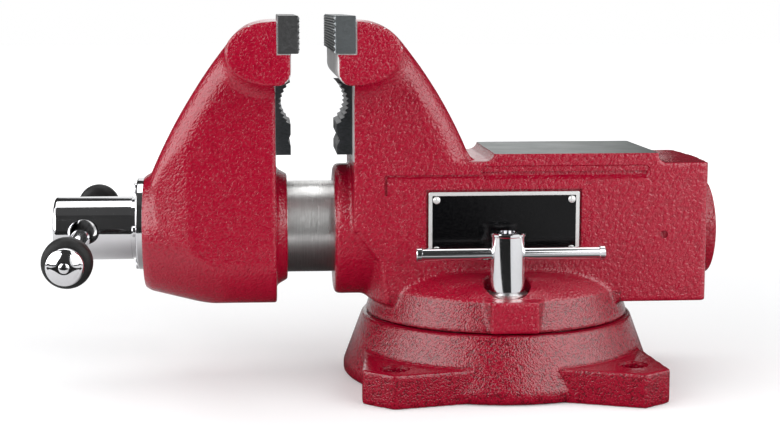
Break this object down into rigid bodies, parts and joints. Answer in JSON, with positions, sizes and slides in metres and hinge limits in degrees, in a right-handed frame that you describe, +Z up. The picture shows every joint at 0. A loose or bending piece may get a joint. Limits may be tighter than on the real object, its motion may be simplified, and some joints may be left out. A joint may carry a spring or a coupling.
{
  "type": "swivel bench vise",
  "caption": "Swivel bench vise with a round slide bar, wide jaw inserts, pipe jaws, a rear anvil and a lugged base that bolts to a bench.",
  "frame": {"origin": "centre of the base's underside, on the swivel axis", "axes": "+Z up, +X to the rear (anvil end) along the spindle, the handle at -X, the name plate facing -Y"},
  "size_m": [0.4093, 0.2648, 0.2227],
  "materials": {
    "red_casting": "deep red gloss enamel over cast iron, slight orange peel",
    "machined_steel": "turned steel, light oil",
    "chrome": "bright chrome plate",
    "dark_steel": "hardened steel, dark finish",
    "black_plate": "gloss black face, bare edge",
    "rivet_steel": "bright steel",
    "black_rubber": "black rubber",
    "black_screw": "black oxide steel",
    "bronze": "cast bronze, as machined"
  },
  "bodies": {
    "base": {"base": "red_casting"},
    "swivel": {"swivel_body": "red_casting", "jaw_insert_fixed": "dark_steel", "insert_screws_fixed": "black_screw", "pipe_jaw_fixed": "dark_steel", "pipe_jaw_screws_fixed": "black_screw", "name_plate": "black_plate", "name_plate_rivets": "rivet_steel", "rear_cap": "red_casting", "spindle_nut": "bronze", "nut_bolt": "black_screw", "lock_stud_near": "machined_steel", "lock_stud_far": "machined_steel", "lock_washer_near": "chrome", "lock_washer_far": "chrome"},
    "front_jaw": {"moving_jaw": "red_casting", "slide_bar": "machined_steel", "slide_set_screw": "black_screw", "jaw_insert_moving": "dark_steel", "insert_screws_moving": "black_screw", "pipe_jaw_moving": "dark_steel", "pipe_jaw_screws_moving": "black_screw", "retaining_plate": "chrome", "plate_screws": "chrome", "thrust_washer": "machined_steel"},
    "spindle": {"spindle": "chrome", "spindle_washer": "chrome"},
    "handle": {"handle_bar": "chrome", "handle_ring_near": "black_rubber", "handle_ring_far": "black_rubber", "handle_knob_near": "chrome", "handle_knob_far": "chrome"},
    "lock_nut_near": {"lock_nut_near": "chrome"},
    "lock_bar_near": {"lock_bar_near": "chrome"},
    "lock_nut_far": {"lock_nut_far": "chrome"},
    "lock_bar_far": {"lock_bar_far": "chrome"}
  },
  "joints": [
    {"name": "swivel_turn", "type": "hinge", "parent": "base", "child": "swivel", "pos_m": [0, 0, 0.04], "axis": [0, 0, 1], "continuous": true},
    {"name": "jaw_slide", "type": "slide", "parent": "swivel", "child": "front_jaw", "axis": [1, 0, 0], "range_m": [-0.146, 0.0191]},
    {"name": "spindle_turn", "type": "hinge", "parent": "front_jaw", "child": "spindle", "pos_m": [-0.25, 0, 0.0928], "axis": [1, 0, 0], "range_deg": [-8750, 1140]},
    {"name": "handle_slide", "type": "slide", "parent": "spindle", "child": "handle", "axis": [-0.0288, 0.9995, 0.0126], "range_m": [-0.0845, 0.0885]},
    {"name": "lock_turn_near", "type": "hinge", "parent": "swivel", "child": "lock_nut_near", "pos_m": [-0.002, -0.062, 0.0836], "axis": [0, 0, 1], "range_deg": [-7, 7]},
    {"name": "lock_bar_slide_near", "type": "slide", "parent": "lock_nut_near", "child": "lock_bar_near", "axis": [1, 0, 0], "range_m": [-0.04, 0.04]},
    {"name": "lock_turn_far", "type": "hinge", "parent": "swivel", "child": "lock_nut_far", "pos_m": [-0.002, 0.062, 0.0836], "axis": [0, 0, 1], "range_deg": [-7, 7]},
    {"name": "lock_bar_slide_far", "type": "slide", "parent": "lock_nut_far", "child": "lock_bar_far", "axis": [1, 0, 0], "range_m": [-0.04, 0.04]}
  ],
  "couplings": [
    {"joint": "jaw_slide", "follows": "spindle_turn", "m_per_rad": 0.00095493}
  ]
}
